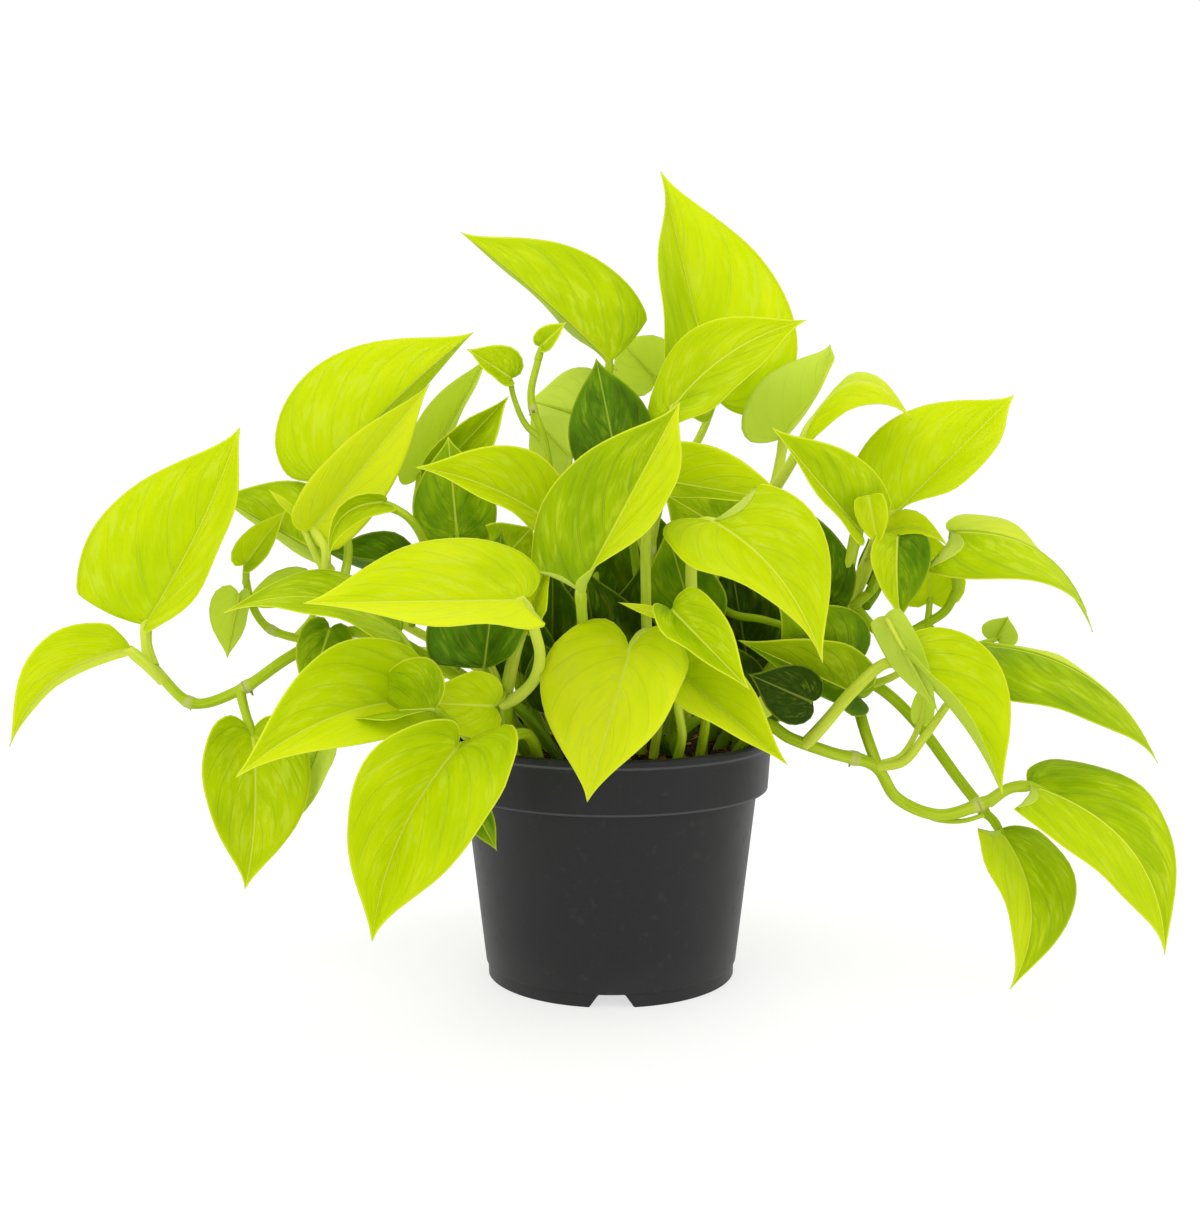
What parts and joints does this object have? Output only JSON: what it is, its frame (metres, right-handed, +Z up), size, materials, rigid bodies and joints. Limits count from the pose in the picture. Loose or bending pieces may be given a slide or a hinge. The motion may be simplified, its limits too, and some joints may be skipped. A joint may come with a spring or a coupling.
{
  "type": "golden pothos plant",
  "caption": "Chartreuse golden pothos with heart-shaped leaves on arching stems, standing in soil in a round tapered black nursery pot with a deep plain collar.",
  "frame": {"origin": "centre of the pot's central foot, on the surface that the pot stands on", "axes": "+Z up; +X to the right and -Y towards the viewer of the picture"},
  "size_m": [0.5537, 0.3264, 0.4199],
  "materials": {
    "pot": "satin",
    "soil": "matte",
    "stem": "satin",
    "leaf": "satin"
  },
  "bodies": {
    "root": {"pot": "pot", "soil": "soil", "stem_back": "stem", "stem_back_left": "stem", "stem_back_right": "stem", "stem_centre": "stem", "stem_centre_left": "stem", "stem_centre_right": "stem", "stem_front_left": "stem", "stem_left": "stem", "stem_left_back": "stem", "stem_left_sprout": "stem", "stem_right": "stem", "stem_right_long": "stem", "stem_right_low": "stem", "leaf_back_crossing": "leaf", "leaf_back_pale": "leaf", "leaf_centre": "leaf", "leaf_centre_back": "leaf", "leaf_centre_dark": "leaf", "leaf_centre_heart": "leaf", "leaf_centre_right": "leaf", "leaf_front_heart": "leaf", "leaf_front_low": "leaf", "leaf_front_right": "leaf", "leaf_front_yellow": "leaf", "leaf_left_arched": "leaf", "leaf_left_back": "leaf", "leaf_left_behind": "leaf", "leaf_left_dark": "leaf", "leaf_left_drooping": "leaf", "leaf_left_hanging": "leaf", "leaf_left_long": "leaf", "leaf_left_tall": "leaf", "leaf_left_upright": "leaf", "leaf_left_yellow": "leaf", "leaf_low_right": "leaf", "leaf_middle_dark": "leaf", "leaf_middle_left": "leaf", "leaf_middle_right": "leaf", "leaf_right_big": "leaf", "leaf_right_dark": "leaf", "leaf_right_far": "leaf", "leaf_right_folded": "leaf", "leaf_right_inner": "leaf", "leaf_right_low": "leaf", "leaf_right_lowest": "leaf", "leaf_right_out": "leaf", "leaf_right_raised": "leaf", "leaf_right_rim": "leaf", "leaf_right_shaded": "leaf", "leaf_right_two_toned": "leaf", "leaf_top": "leaf", "leaf_top_back": "leaf", "leaf_top_left": "leaf", "leaf_top_right": "leaf", "leaf_upper_right": "leaf"}
  },
  "joints": []
}
